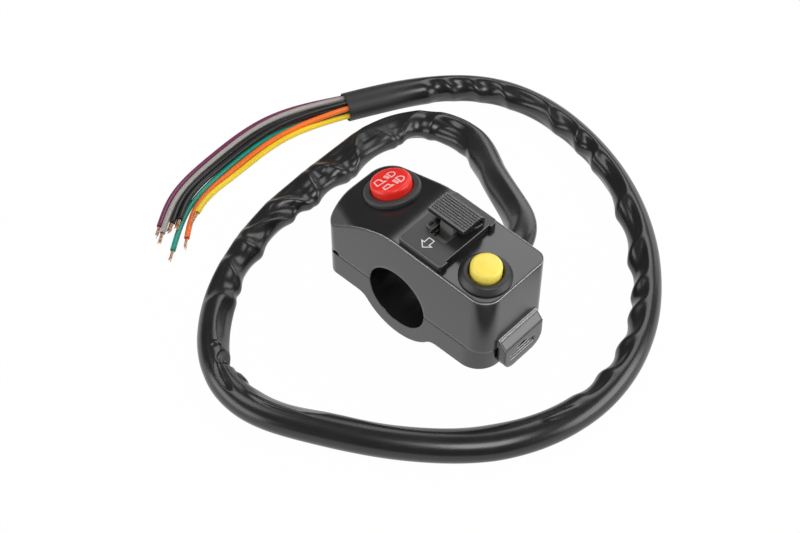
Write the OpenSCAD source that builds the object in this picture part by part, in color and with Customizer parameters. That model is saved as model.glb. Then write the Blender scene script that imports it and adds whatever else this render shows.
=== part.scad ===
// Handlebar switch cluster: a split clamp housing with a headlamp push button,
// a slide switch, a horn button and a sleeved cable that ends in bare wires.
// Origin: middle of the bar bore, on the split between the two housing halves.
// +Y runs along the bar, +X points to the horn end, +Z points up through the deck.
// All sizes are in millimetres and all angles in degrees.

/* [Bar clamp] */
// Diameter of the bar that the halves close on
bar_d = 22.2; // [21:0.1:23]
// Gap left between the two halves
split_gap = 0.4; // [0.2:0.1:0.8]
// Wall of the lower half under the bar
bulge_wall = 5.3; // [4:0.1:6]
// Height of the lower half's flat feet below the split
foot_h = 9; // [8:0.1:9.5]
// Fillet between the feet and the round bulge
foot_fillet = 5; // [3:0.5:6]

/* [Housing] */
// Wall of the upper half
wall = 2.2; // [1.9:0.1:2.4]
// Depth of the housing along the bar
depth = 27.4; // [27:0.2:30]
// Room between the saddle over the bar and the outside of the deck
switch_room = 11.2; // [11:0.1:14]
// Length of the housing past the bar on the headlamp side
left_reach = 18.6; // [18.4:0.1:24]
// Length of the housing past the bar on the horn side
right_reach = 23.7; // [23:0.1:28]
// Fall of the deck towards the horn end
deck_tilt = 2.4; // [0:0.1:3]
// Fall of the headlamp facet towards its end
facet_tilt = 14.5; // [12:0.5:16]
// Distance from the bar axis to the bend between deck and facet
knee_x = 4; // [3:0.5:5]
// Radius of that bend
knee_r = 30; // [15:1:40]
// Plan radius of the front corner at the headlamp end
left_front_r = 4; // [3:0.5:5]
// Plan radius of the back corner at the headlamp end
left_back_r = 7; // [4:0.5:8]
// Plan radius of the upper half's front corner at the horn end
right_front_r = 6; // [4:0.5:7]
// Plan radius of the lower half's front corner at the horn end
foot_front_r = 8; // [5:0.5:9]
// Plan radius of the back corner at the horn end
right_back_r = 3.5; // [2.5:0.5:6]
// Slope of the cut-off corner against the facet
shoulder_angle = 43; // [35:1:48]
// Distance from the back face to where the cut-off corner starts at the end
shoulder_y = 19.7; // [18.7:0.1:21.7]
// Distance from the bar axis to where the cut-off corner starts at the front
shoulder_x = 12.6; // [11:0.2:15]
// Radius between the facet and the cut-off corner
shoulder_r = 10; // [6:0.5:11]

/* [End lug] */
// Width of the lug along the bar
lug_w = 17; // [14:0.5:18]
// Middle of the lug along the bar
lug_y = 1.3; // [0:0.1:2]
// Thickness of the lug past the housing's end
lug_t = 3; // [2.4:0.1:4]
// Top of the lug above the split
lug_top = 3.4; // [2.5:0.1:5]
// Reach of the lug below the split
lug_drop = 9.3; // [8.5:0.1:10.5]
// Radius of the lug's lower corners
lug_corner_r = 4.5; // [2:0.5:5]
// Length of the keyhole's slot
keyhole_w = 10.4; // [8:0.2:11]
// Height of the keyhole's slot
keyhole_h = 2.4; // [1.6:0.1:3]
// Radius of the keyhole's arch
keyhole_r = 3.2; // [2.4:0.1:4]
// Depth of the keyhole
keyhole_depth = 2; // [1.2:0.1:2.2]

/* [Headlamp button] */
// Diameter of the headlamp cap
lamp_cap_d = 12.8; // [10:0.1:13]
// Diameter of the rim round the headlamp cap
lamp_rim_d = 17.8; // [17:0.1:18.4]
// Height of the rim above the facet
lamp_rim_h = 1.6; // [1:0.1:2.5]
// Height of the cap above its rim
lamp_cap_h = 3.4; // [2.7:0.1:4]
// Travel of the headlamp cap
lamp_travel = 2.5; // [1:0.1:2.6]
// Distance from the back face to the edge of the headlamp cap
lamp_y = 4; // [3.7:0.1:7.3]
// Distance from the headlamp end to the edge of the headlamp cap
lamp_end = 5.95; // [5.6:0.05:7.1]

/* [Slide switch] */
// Width of the slide plate across the bar
plate_w = 16.6; // [15:0.1:17]
// Length of the slide plate along the bar
plate_l = 25; // [22:0.1:25.6]
// Thickness of the slide plate
plate_t = 2.4; // [1.5:0.1:3]
// Middle of the slide plate from the bar axis
slide_x = 8; // [7.6:0.1:8.4]
// Travel of the knob each way from the middle
slide_travel = 2.5; // [1:0.1:2.6]
// Width of the thumb knob across the bar
knob_w = 13.6; // [12:0.1:15]
// Height of the thumb knob above the deck
knob_h = 7.9; // [7:0.1:10]
// Number of ribs on the thumb knob
knob_ribs = 8; // [5:1:10]
// Width of the neck that carries the knob
neck_w = 5; // [4.6:0.1:6]
// Length of the neck along the bar
neck_l = 4.6; // [4:0.1:5.4]

/* [Horn button] */
// Diameter of the horn cap
horn_cap_d = 9.4; // [8:0.1:9.8]
// Diameter of the foot of the horn rim
horn_foot_d = 15.9; // [14.5:0.1:16.2]
// Diameter of the raised ring on the horn rim
horn_ring_d = 13.8; // [12.5:0.1:14]
// Height of the ring above the deck
horn_rim_h = 2.3; // [1:0.1:3]
// Height of the cap above its rim
horn_cap_h = 3.5; // [2.2:0.1:4.5]
// Travel of the horn cap
horn_travel = 2; // [1:0.1:2.1]
// Middle of the horn button along the bar
horn_y = -4.2; // [-4.4:0.1:0]
// Distance from the horn end to the button's middle
horn_end = 8.7; // [8.6:0.05:10]

/* [Cable] */
// Outside diameter of the cable sleeve
sleeve_d = 9.8; // [8:0.1:10]
// Outside diameter of one wire
wire_d = 1.7; // [1.4:0.1:1.7]
// Diameter of a bare copper end
copper_d = 1.1; // [0.6:0.1:1.2]
// Length of a bare copper end
copper_l = 5; // [3:0.5:8]

/* [Clamp screws] */
// Diameter of a clamp screw
screw_d = 4; // [3:0.1:4.2]
// Diameter of a clamp screw's head
screw_head_d = 7; // [6:0.1:7.2]
// Height of a clamp screw's head
screw_head_h = 2.6; // [2:0.1:3]
// Depth of thread in the upper half
screw_thread = 7; // [5:0.1:7.4]

/* [Clearances] */
// Gap round a cap in its rim
cap_gap = 0.3; // [0.2:0.05:0.4]
// Gap between a cap's lip and the cup round it
lip_gap = 0.2; // [0.1:0.05:0.3]
// Gap at a seat that is fitted by hand
seat_gap = 0.1; // [0.05:0.05:0.2]
// Gap under a sliding piece
slide_gap = 0.2; // [0.1:0.05:0.3]
// Gap between the lower half and the lug that hangs beside it
lug_gap = 0.6; // [0.4:0.1:1]

/* [Hidden] */
$fn = 64;

// Housing outline
bar_r = bar_d / 2;
saddle_r = bar_r + wall;
bulge_r = bar_r + bulge_wall;
body_left = bar_r + left_reach;
body_right = bar_r + right_reach;
deck_h = saddle_r + switch_room;
knee_steps = 8;
knee_turn = deck_tilt + facet_tilt;
knee_run = knee_r * tan(knee_turn / 2);
knee_centre = [-knee_x, deck_z(-knee_x)] + knee_run * [cos(deck_tilt), -sin(deck_tilt)]
    - knee_r * [sin(deck_tilt), cos(deck_tilt)];
shoulder_steps = 6;
shoulder_run = shoulder_r * tan(shoulder_angle / 2);
cutter_reach = 30;
crease_turn = atan2(depth - shoulder_y, (body_left - shoulder_x) / cos(facet_tilt));
fillet_x = sqrt(pow(bulge_r + foot_fillet, 2) - pow(foot_h + foot_fillet, 2));
fillet_angle = atan2(foot_h + foot_fillet, fillet_x);
arc_step = 4;
notch_r = 1.4;
notch_depth = 0.5;
notch_x = 4.2;

// End lug and its keyhole
lug_lip = 0.7;
lug_step = 0.4;
lug_slope = 2.6;
keyhole_y = lug_y - 0.5;
keyhole_rise = 3.2;
keyhole_ledge = 0.8;

// Clamp screws and the bosses that take them
boss_wall = 1.6;
rib_t = 1.8;
screw_boss_r = screw_d / 2 + boss_wall;
screw_boss_h = screw_thread + boss_wall;
screw_pocket = screw_head_h + 1;
left_screw = [-(body_left - wall - screw_boss_r - 1.6), -5];
right_screw = [body_right - wall - screw_boss_r - 4, -2];

// Push buttons: sizes that the headlamp and the horn share
collar_t = 0.9;
seat_drop = 1;
seat_depth = wall + seat_drop;
cap_wall = 1;
cap_top_t = 1.6;
cap_round = 1.3;
cap_arc = 75;
cap_steps = 6;
cap_crown = 0.35;
lip_reach = 0.45;
lip_h = 0.8;
stem_r = 1.4;
cup_room = 6;
cup_floor = 1.2;
contact_t = 0.6;
ear_r = 2;
ear_t = 1.5;
small_screw_r = 1;
small_head_r = 1.8;
small_head_h = 1.2;
skin = 0.7;
post_r = 0.8;
post_tail = 2;
post_gap = 0.3;
spring_wire_r = 0.3;
spring_turns = 5;
helix_steps = 8;
lamp_ears = [0, -90];
horn_ears = [90, 180];
lamp_posts = 3;
horn_posts = 2;
lamp_top = lamp_rim_h + lamp_cap_h;
horn_top = horn_rim_h + horn_cap_h;
lamp_at = [lamp_cap_d / 2 + lamp_end - body_left, depth / 2 - lamp_y - lamp_cap_d / 2];
horn_at = [body_right - horn_end, horn_y];

// Slide switch: levels are counted from the outside of the deck
slide_home = 1.2;
plate_y = -0.3;
slot_gap = 0.55;
slot_room = 1.4;
slot_w = neck_w + 2 * slot_gap;
slot_back = slide_home + neck_l / 2 + slide_travel + seat_gap;
slot_front = slide_home - neck_l / 2 - slide_travel - seat_gap - slot_room;
carriage_w = 9.4;
carriage_l = 7.4;
carriage_t = 3;
carriage_top = -wall - slide_gap;
carriage_low = carriage_top - carriage_t;
strip_t = 0.4;
strip_w = 2;
board_top = carriage_low - strip_t - seat_gap;
board_t = 1.5;
board_w = 13;
board_l = depth - 2 * wall - 2 * seat_gap;
board_boss_r = 1.8;
board_hole_y = depth / 2 - wall - board_boss_r;
rivet_r = 0.8;
rivet_tail = 1.6;
rivet_pitch = 3;
ball_r = 1.4;
ball_bore_r = ball_r + 0.05;
ball_z = board_top + ball_r + 0.05;
ball_bore_top = -0.6;
detent_depth = 0.3;
detent_turns = 4;
detent_wire_r = 0.2;
knob_front = -2.9;
knob_back = 6.8;
rib_back = 4.5;
rib_depth = 0.5;
knob_tip = 1.3;
knob_clear = 0.3;
knob_bevel = 1.6;
neck_sink = 1.4;
neck_lean = 0.8;
plate_corner_r = 1.2;
plate_lip = 3;
plate_step = 0.7;
pad_size = [1.6, 2.4, 0.7];

// Cable port in the back wall
port_at = [18.5, 9.5];
grommet_t = 1;
grommet_flange = 0.7;
grommet_flange_t = 1.4;
sleeve_r = sleeve_d / 2;
port_r = sleeve_r + grommet_t;
back_y = depth / 2;
inner_end = back_y - wall - grommet_flange_t - 3.4;
tie_w = 2.2;
tie_t = 1.1;
sleeve_sides = 12;
wire_sides = 8;
table_z = -bulge_r;
lie_z = table_z + sleeve_r;

// Route of the sleeve: out of the port, round behind, past the headlamp end,
// across the front, past the horn end and back over to the open mouth
SLEEVE = [
    [port_at[0], inner_end, port_at[1]], [port_at[0], 14.5, port_at[1]], [17.8, 19.9, 9.3],
    [15.7, 25, 8.6], [12.3, 29.4, 7.3], [7.8, 33, 5.5], [-5.5, 41.6, 0.2], [-19, 51, -5.8],
    [-27, 56.5, -9.3], [-34, 59.7, -11], [-41.2, 60.2, lie_z], [-48.2, 58.2, lie_z],
    [-54, 54, lie_z], [-58, 48, lie_z], [-60, 38, lie_z], [-60, 12, lie_z], [-58.8, -8, lie_z],
    [-54.5, -26, lie_z], [-47, -43, lie_z], [-37, -56, lie_z], [-26.5, -64, lie_z],
    [-15, -66.5, lie_z], [-4, -64.5, lie_z], [6.5, -59.8, lie_z], [22.5, -51.2, lie_z],
    [37, -41, lie_z], [49.8, -28.5, lie_z], [59, -13, lie_z], [63, 4.5, lie_z], [61.8, 20, lie_z],
    [55, 38.5, lie_z], [44.8, 53.3, lie_z], [32.4, 66, lie_z], [10.5, 80.3, lie_z],
    [-14.5, 88, lie_z], [-32, 88.3, lie_z], [-46.5, 83.6, lie_z], [-58.4, 74, lie_z],
    [-69, 59.5, lie_z], [-77.5, 43.5, lie_z]
];

// Middle line of the wire bundle from the mouth to the longest bare end
bundle_z = table_z + wire_d / 2 + 0.05;
BUNDLE = [
    [-77.5, 43.5, lie_z], [-81.5, 36, lie_z - 0.5], [-87.5, 20, -13],
    [-89.5, -3, bundle_z], [-85.5, -23, bundle_z], [-75.5, -39.5, bundle_z]
];

// Shares of the flat ribbon's places at each point of the bundle
FAN = [0, 0.3, 0.85, 1, 1, 1];
// Shares of the tip's places, across and upwards, at each point of the bundle
TIP = [[0, 0], [0, 0], [0, 0], [0, 0], [0, 1], [1, 1]];
// Each wire: colour, place across and upwards in the mouth, in the flat ribbon and at the
// tip, and how far its end is cut back
WIRES = [
    ["firebrick", [-3.3, -1.4], [-3.4, 0], [-3.4, 0], 12],
    ["mediumorchid", [-3.8, 0.7], [-6, 0.3], [-6, 0.3], 8],
    ["darkgray", [-2.1, 2], [-4.2, 1.7], [-4.2, 1.7], 5],
    ["saddlebrown", [-1.2, -2.3], [-1.5, 0], [-1.5, 0], 14],
    ["black", [-0.8, -0.2], [-2.3, 1.7], [-2.3, 1.7], 10],
    ["dimgray", [0.7, 2.4], [-0.4, 1.7], [-0.4, 1.7], 12],
    ["lightseagreen", [1.8, -2.1], [0.7, 0], [0.7, 0], 0],
    ["darkorange", [2.8, 1.7], [2.8, 0], [4, 0], 6],
    ["gold", [3.6, -1], [4.9, 0], [2.3, 1.9], 16]
];

// Height of the deck's outside at a distance from the bar axis
function deck_z(x) = deck_h - x * tan(deck_tilt);

// Height of the facet's outside at a distance from the bar axis
function facet_z(x) = deck_z(-knee_x) + (x + knee_x) * tan(facet_tilt);

// Points on an arc about a centre, from one angle to another
function arc(centre, r, from, to, steps) =
    [for (i = [0:steps]) let (a = from + (to - from) * i / steps) centre + r * [cos(a), sin(a)]];

function unit(v) = v / norm(v);

// Direction of a route at one of its points
function heading(route, i) =
    unit(route[min(i + 1, len(route) - 1)] - route[max(i - 1, 0)]);

// Sideways direction, level with the table, at one point of a route
function sideways(route, i) = unit(cross(heading(route, i), [0, 0, 1]));

// One ring of a tube about a point of its route
function ring(route, i, r, sides) =
    let (side = sideways(route, i), up = cross(side, heading(route, i)))
    [for (k = [0:sides - 1]) route[i] + r * (cos(360 * k / sides) * side + sin(360 * k / sides) * up)];

// Place of a wire off the middle of the bundle, across and upwards, at one of its points
function wire_offset(w, i) =
    let (mouth = WIRES[w][1], ribbon = WIRES[w][2], tip = WIRES[w][3] - ribbon)
    mouth + FAN[i] * (ribbon - mouth) + [TIP[i][0] * tip[0], TIP[i][1] * tip[1]];

// Points of one wire, with its last point cut back from the bundle's end
function wire_route(w) =
    let (last = len(BUNDLE) - 1,
         full = [for (i = [0:last]) let (o = wire_offset(w, i))
             BUNDLE[i] - o[0] * sideways(BUNDLE, i) + [0, 0, o[1]]])
    [for (i = [0:last]) i < last ? full[i]
        : full[last] - WIRES[w][4] * unit(full[last] - full[last - 1])];

// Points of a helical spring about Z
function helix(r, low, high, turns) =
    let (steps = helix_steps * turns)
    [for (i = [0:steps]) let (a = 360 * i / helix_steps)
        [r * cos(a), r * sin(a), low + (high - low) * i / steps]];

// Skin of a tube along a route, closed at both ends
module tube(route, r, sides) {
    rings = len(route);
    last = (rings - 1) * sides;
    points = [for (i = [0:rings - 1]) each ring(route, i, r, sides)];
    walls = [for (i = [0:rings - 2], k = [0:sides - 1])
        let (a = i * sides + k, b = i * sides + (k + 1) % sides)
        each [[a, b, a + sides], [b, b + sides, a + sides]]];
    ends = [for (k = [1:sides - 2]) each [[0, k + 1, k], [last, last + k, last + k + 1]]];
    polyhedron(points = points, faces = concat(walls, ends));
}

// Extrudes an outline drawn across the bar, in X and Z, along the bar
module along_bar(length) {
    rotate([90, 0, 0]) linear_extrude(height = length, center = true) children();
}

// Extrudes an outline drawn in Y and Z from a place on X towards +X
module towards_horn(from, length) {
    translate([from, 0, 0]) rotate([90, 0, 90]) linear_extrude(height = length) children();
}

// Puts a piece on the sloping facet, with its own Z square to the facet
module on_facet() {
    translate([lamp_at[0], lamp_at[1], facet_z(lamp_at[0])]) rotate([0, -facet_tilt, 0]) children();
}

// Puts a piece on the deck, with its own Z square to the deck
module on_deck(x, y) {
    translate([x, y, deck_z(x)]) rotate([0, deck_tilt, 0]) children();
}

// What a rounded corner leaves off a square one, in the quarter of +X and +Y
module corner_cut(r) {
    difference() {
        square(r + 1);
        circle(r);
    }
}

// Plan of a housing half with its own radius at each corner, drawn in by an inset
module plan(right_end, front_r, inset) {
    x0 = inset - body_left;
    x1 = right_end - inset;
    y1 = back_y - inset;
    corners = [[x1, y1, right_back_r], [x0, y1, left_back_r], [x0, -y1, left_front_r], [x1, -y1, front_r]];
    difference() {
        translate([x0, -y1]) square([x1 - x0, 2 * y1]);
        for (i = [0:3]) {
            at = corners[i];
            r = at[2] - inset / 2;
            translate([at[0] - r * sign(at[0]), at[1] - r * sign(at[1])]) rotate(90 * i) corner_cut(r);
        }
    }
}

// Side outline of the upper half above a level, drawn in from its outside by an inset
module side_outline(inset, bottom) {
    deck_fall = inset / cos(deck_tilt);
    facet_fall = inset / cos(facet_tilt);
    polygon(concat(
        [[-body_left, bottom], [body_right, bottom], [body_right, deck_z(body_right) - deck_fall]],
        arc(knee_centre, knee_r - inset, 90 - deck_tilt, 90 + facet_tilt, knee_steps),
        [[-body_left, facet_z(-body_left) - facet_fall]]
    ));
}

// What is cut off the front corner at the headlamp end, drawn in by an inset
module shoulder_cut(inset) {
    centre = [-shoulder_run, -shoulder_r];
    curve = arc(centre, shoulder_r - inset, 90, 90 - shoulder_angle, shoulder_steps);
    foot = curve[shoulder_steps] + cutter_reach * [cos(shoulder_angle), -sin(shoulder_angle)];
    translate([-body_left, depth / 2 - shoulder_y, facet_z(-body_left)])
        rotate([0, -facet_tilt, 0])
            rotate([90, 0, -90 - crease_turn])
                linear_extrude(height = 4 * cutter_reach, center = true)
                    polygon(concat(curve, [foot, [foot[0], cutter_reach], [centre[0], cutter_reach]]));
}

// Block of the upper half, drawn in from its outside by an inset
module upper_block(inset, bottom) {
    difference() {
        intersection() {
            along_bar(depth) side_outline(inset, bottom);
            translate([0, 0, bottom]) linear_extrude(height = 2 * deck_h)
                plan(body_right, right_front_r, inset);
        }
        shoulder_cut(inset);
    }
}

// Lug that hangs off the horn end, before its keyhole is cut
module end_lug() {
    low = lug_corner_r - lug_drop;
    half = lug_w / 2;
    intersection() {
        along_bar(depth) polygon([
            [body_right - wall / 2, split_gap / 2], [body_right, split_gap / 2], [body_right, -lug_drop],
            [body_right + lug_t, -lug_drop], [body_right + lug_t, lug_top - lug_step - lug_slope],
            [body_right + lug_lip, lug_top - lug_step], [body_right + lug_lip, lug_top],
            [body_right - wall / 2, lug_top]
        ]);
        towards_horn(body_right - wall, lug_t + 2 * wall) translate([lug_y, 0]) {
            translate([-half, low]) square([lug_w, lug_top - low]);
            translate([-half + lug_corner_r, -lug_drop]) square([lug_w - 2 * lug_corner_r, lug_drop]);
            for (s = [-1, 1]) translate([s * (half - lug_corner_r), low]) circle(lug_corner_r);
        }
    }
}

// Cuts an outline drawn in Y and Z into the lug's outer face
module lug_cut(cut_depth) {
    towards_horn(body_right + lug_t - cut_depth, 2 * cut_depth)
        translate([keyhole_y, keyhole_rise - lug_drop]) children();
}

// Keyhole in the lug: an arch on a slot whose lower half is a shallow ledge
module keyhole_cut() {
    lug_cut(keyhole_ledge) translate([-keyhole_w / 2, 0]) square([keyhole_w, keyhole_h]);
    lug_cut(keyhole_depth) translate([0, keyhole_h / 2]) {
        translate([-keyhole_w / 2, 0]) square([keyhole_w, keyhole_h / 2]);
        intersection() {
            circle(keyhole_r);
            translate([-keyhole_r, 0]) square([2 * keyhole_r, keyhole_r]);
        }
    }
}

// Half-round notch at the split, in the front face by the headlamp end
module notch_cut() {
    translate([notch_x - body_left, notch_depth - back_y, split_gap / 2])
        rotate([90, 0, 0]) cylinder(r = notch_r, h = 2 * notch_depth);
}

// Round hole in the back wall for the cable
module port_cut() {
    translate([port_at[0], back_y + 1, port_at[1]]) rotate([90, 0, 0]) cylinder(r = port_r, h = wall + 2);
}

// Boss for the thread of a clamp screw, on a rib from the saddle to the end wall
module screw_boss(p) {
    end = p[0] < 0 ? wall / 2 - body_left : body_right - wall / 2;
    translate([p[0], p[1], -1]) cylinder(r = screw_boss_r, h = 1 + screw_boss_h);
    translate([min(0, end), p[1] - rib_t / 2, -1]) cube([abs(end), rib_t, 1 + screw_boss_h]);
}

// Boss with room for one small screw under a wall, its foot at a level below the outside
module small_boss(r, foot) {
    translate([0, 0, foot]) cylinder(r = r, h = -foot - wall / 2);
}

// Blind hole for the thread of a small screw
module small_thread(foot) {
    translate([0, 0, foot - 1]) cylinder(r = small_screw_r, h = 1 - foot - skin);
}

// Radii that follow from the size of a push button's cap
function collar_in(cap_d) = cap_d / 2 + cap_gap;
function collar_out(cap_d) = collar_in(cap_d) + collar_t;
function cup_in(cap_d) = cap_d / 2 + lip_reach + lip_gap;
function ear_at(cap_d) = collar_out(cap_d) + ear_r;
function coil_r(cap_d) = cap_d / 2 - cap_wall - 1.5 * spring_wire_r;
function contact_r(cap_d) = coil_r(cap_d) - 2 * spring_wire_r;

// Levels of a push button, counted from the outside of the wall that carries it
cup_low = -seat_depth - cup_room;
function stem_low(travel) = cup_low + travel + contact_t + 0.6;

// Places of a button's ears about its axis
module at_ears(cap_d, ears) {
    for (a = ears) rotate(a) translate([ear_at(cap_d), 0, 0]) children();
}

// Cap with its skirt, lip and stem, from the level of its top
module push_cap(cap_d, top, travel) {
    r = cap_d / 2;
    lip_top = -seat_depth - seat_gap;
    lip_low = lip_top - lip_h;
    rotate_extrude() polygon(concat(
        [[0, stem_low(travel)], [stem_r, stem_low(travel)], [stem_r, top - cap_top_t],
         [r - cap_wall, top - cap_top_t], [r - cap_wall, lip_low], [r + lip_reach, lip_low],
         [r + lip_reach, lip_top], [r, lip_top]],
        arc([r - cap_round, top - cap_crown - cap_round], cap_round, 0, cap_arc, cap_steps),
        [[0, top]]
    ));
}

// Cup under the wall that closes a button's works in, with its ears
module push_base(cap_d, ears, posts) {
    difference() {
        union() {
            translate([0, 0, cup_low - cup_floor]) cylinder(r = collar_out(cap_d), h = cup_room + cup_floor);
            at_ears(cap_d, ears) {
                translate([0, 0, -seat_depth - ear_t]) cylinder(r = ear_r, h = ear_t);
                translate([-ear_r - collar_t / 2, -ear_r, -seat_depth - ear_t])
                    cube([ear_r + collar_t / 2, 2 * ear_r, ear_t]);
            }
        }
        translate([0, 0, cup_low]) cylinder(r = cup_in(cap_d), h = cup_room + 1);
        at_ears(cap_d, ears) translate([0, 0, -seat_depth - ear_t - 1])
            cylinder(r = small_screw_r + seat_gap, h = ear_t + 2);
        at_posts(cap_d, posts) translate([0, 0, cup_low - cup_floor - 1])
            cylinder(r = post_r, h = cup_floor + 2);
    }
}

// Places of the terminals in a button's cup
module at_posts(cap_d, posts) {
    for (i = [0:posts - 1]) rotate(90 + 360 * i / posts)
        translate([contact_r(cap_d) - post_r - post_gap, 0, 0]) children();
}

// Terminals that stand through the floor of a cup
module push_terminals(cap_d, posts) {
    at_posts(cap_d, posts) translate([0, 0, cup_low - cup_floor - post_tail])
        cylinder(r = post_r, h = post_tail + cup_floor + 0.4);
}

// Contact disc under the stem of a cap
module push_contact(cap_d, travel) {
    translate([0, 0, stem_low(travel) - contact_t]) cylinder(r = contact_r(cap_d), h = contact_t);
}

// Return spring from the floor of the cup to the underside of the cap
module push_spring(cap_d, top) {
    end_gap = spring_wire_r + 0.05;
    tube(helix(coil_r(cap_d), cup_low + end_gap, top - cap_top_t - end_gap, spring_turns), spring_wire_r, 6);
}

// Small screws that hold a cup's ears to their bosses
module push_screws(cap_d, ears) {
    at_ears(cap_d, ears) {
        translate([0, 0, -seat_depth - ear_t - small_head_h]) cylinder(r = small_head_r, h = small_head_h);
        translate([0, 0, -seat_depth - ear_t]) cylinder(r = small_screw_r, h = seat_depth + ear_t - skin);
    }
}

// Place of one screw of the slide board
module at_board_holes() {
    for (s = [-1, 1]) translate([0, s * board_hole_y, 0]) children();
}

// Slot that the neck slides in, through a thickness
module slide_slot(low, high) {
    translate([-slot_w / 2, slot_front, low]) cube([slot_w, slot_back - slot_front, high - low]);
}

// Upper half: shell, saddle, bosses, lug and the openings for the switches
module upper_housing() color("#1b1b1c") difference() {
    union() {
        difference() {
            upper_block(0, split_gap / 2);
            difference() {
                upper_block(wall, -1);
                rotate([90, 0, 0]) cylinder(r = saddle_r, h = depth, center = true);
                for (p = [left_screw, right_screw]) screw_boss(p);
                on_facet() at_ears(lamp_cap_d, lamp_ears) small_boss(ear_r, -seat_depth);
                on_deck(horn_at[0], horn_at[1]) at_ears(horn_cap_d, horn_ears)
                    small_boss(ear_r, -seat_depth);
                on_deck(slide_x, 0) at_board_holes() small_boss(board_boss_r, board_top);
            }
        }
        end_lug();
    }
    rotate([90, 0, 0]) cylinder(r = bar_r, h = 2 * depth, center = true);
    for (p = [left_screw, right_screw]) translate([p[0], p[1], -1])
        cylinder(r = screw_d / 2, h = 1 + screw_thread + split_gap);
    on_facet() {
        translate([0, 0, -seat_depth]) cylinder(r = collar_out(lamp_cap_d) + seat_gap, h = 2 * seat_depth);
        at_ears(lamp_cap_d, lamp_ears) small_thread(-seat_depth);
    }
    on_deck(horn_at[0], horn_at[1]) {
        translate([0, 0, -seat_depth]) cylinder(r = collar_out(horn_cap_d) + seat_gap, h = 2 * seat_depth);
        at_ears(horn_cap_d, horn_ears) small_thread(-seat_depth);
    }
    on_deck(slide_x, 0) {
        slide_slot(-wall - 1, 1);
        at_board_holes() small_thread(board_top);
    }
    port_cut();
    keyhole_cut();
    notch_cut();
}

// Lower half: feet, round bulge under the bar, pockets and screw holes
module lower_clamp() color("#1d1d1e") difference() {
    right_end = body_right - lug_gap;
    intersection() {
        along_bar(depth) polygon(concat(
            [[-body_left, -split_gap / 2], [-body_left, -foot_h]],
            arc([-fillet_x, -foot_h - foot_fillet], foot_fillet, 90, fillet_angle, arc_step),
            arc([0, 0], bulge_r, 180 + fillet_angle, 360 - fillet_angle, 6 * arc_step),
            arc([fillet_x, -foot_h - foot_fillet], foot_fillet, 180 - fillet_angle, 90, arc_step),
            [[right_end, -foot_h], [right_end, -split_gap / 2]]
        ));
        translate([0, 0, -2 * bulge_r]) linear_extrude(height = 2 * bulge_r)
            plan(right_end, foot_front_r, 0);
    }
    rotate([90, 0, 0]) cylinder(r = bar_r, h = 2 * depth, center = true);
    difference() {
        translate([0, 0, wall - foot_h]) linear_extrude(height = foot_h)
            plan(right_end, foot_front_r, wall);
        translate([-bulge_r, -depth, -foot_h]) cube([2 * bulge_r, 2 * depth, 2 * foot_h]);
        for (p = [left_screw, right_screw])
            translate([p[0], p[1], -foot_h]) cylinder(r = screw_head_d / 2 + boss_wall, h = 2 * foot_h);
    }
    for (p = [left_screw, right_screw]) translate([p[0], p[1], -2 * foot_h]) {
        cylinder(r = screw_d / 2 + seat_gap, h = 3 * foot_h);
        cylinder(r = screw_head_d / 2 + seat_gap, h = foot_h + screw_pocket);
    }
}

// Two screws that pull the halves together from below
module clamp_screws() color("silver") {
    seat = screw_pocket - foot_h;
    for (p = [left_screw, right_screw]) translate([p[0], p[1], 0]) {
        translate([0, 0, seat - screw_head_h]) cylinder(r = screw_head_d / 2, h = screw_head_h);
        translate([0, 0, seat]) cylinder(r = screw_d / 2, h = screw_thread - seat);
    }
}

// Rim round the headlamp cap: a flat flange on a collar through the facet
module headlamp_bezel() color("#2a2a2a") on_facet() {
    edge = 0.5;
    r = lamp_rim_d / 2;
    rotate_extrude() polygon([
        [collar_in(lamp_cap_d), -seat_depth], [collar_out(lamp_cap_d), -seat_depth],
        [collar_out(lamp_cap_d), 0], [r, 0], [r, lamp_rim_h - edge], [r - edge, lamp_rim_h],
        [collar_in(lamp_cap_d), lamp_rim_h]
    ]);
}

module headlamp_button() color("red") on_facet() push_cap(lamp_cap_d, lamp_top, lamp_travel);

module headlamp_spring() color("lightgray") on_facet() push_spring(lamp_cap_d, lamp_top);

module headlamp_contact() color("goldenrod") on_facet() push_contact(lamp_cap_d, lamp_travel);

module headlamp_base() color("peru") on_facet() push_base(lamp_cap_d, lamp_ears, lamp_posts);

module headlamp_terminals() color("goldenrod") on_facet() push_terminals(lamp_cap_d, lamp_posts);

module headlamp_screws() color("silver") on_facet() push_screws(lamp_cap_d, lamp_ears);

// Plate on the deck with a stepped side, the neck's slot and a stop pad beside it
module slide_plate() color("#262627") on_deck(slide_x, 0) difference() {
    union() {
        linear_extrude(height = plate_t) translate([0, plate_y]) difference() {
            union() {
                square([plate_w - 2 * plate_corner_r, plate_l], center = true);
                square([plate_w, plate_l - 2 * plate_corner_r], center = true);
                for (sx = [-1, 1], sy = [-1, 1])
                    translate([sx * (plate_w / 2 - plate_corner_r), sy * (plate_l / 2 - plate_corner_r)])
                        circle(plate_corner_r);
            }
            translate([plate_w / 2 - plate_step, plate_lip - plate_l / 2])
                square([plate_w, plate_l - 2 * plate_lip]);
        }
        translate([-slot_w / 2 - pad_size[0] - slot_gap, slot_front + pad_size[1] / 2, 0])
            cube([pad_size[0], pad_size[1], plate_t + pad_size[2]]);
    }
    slide_slot(-1, plate_t + 1);
}

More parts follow.
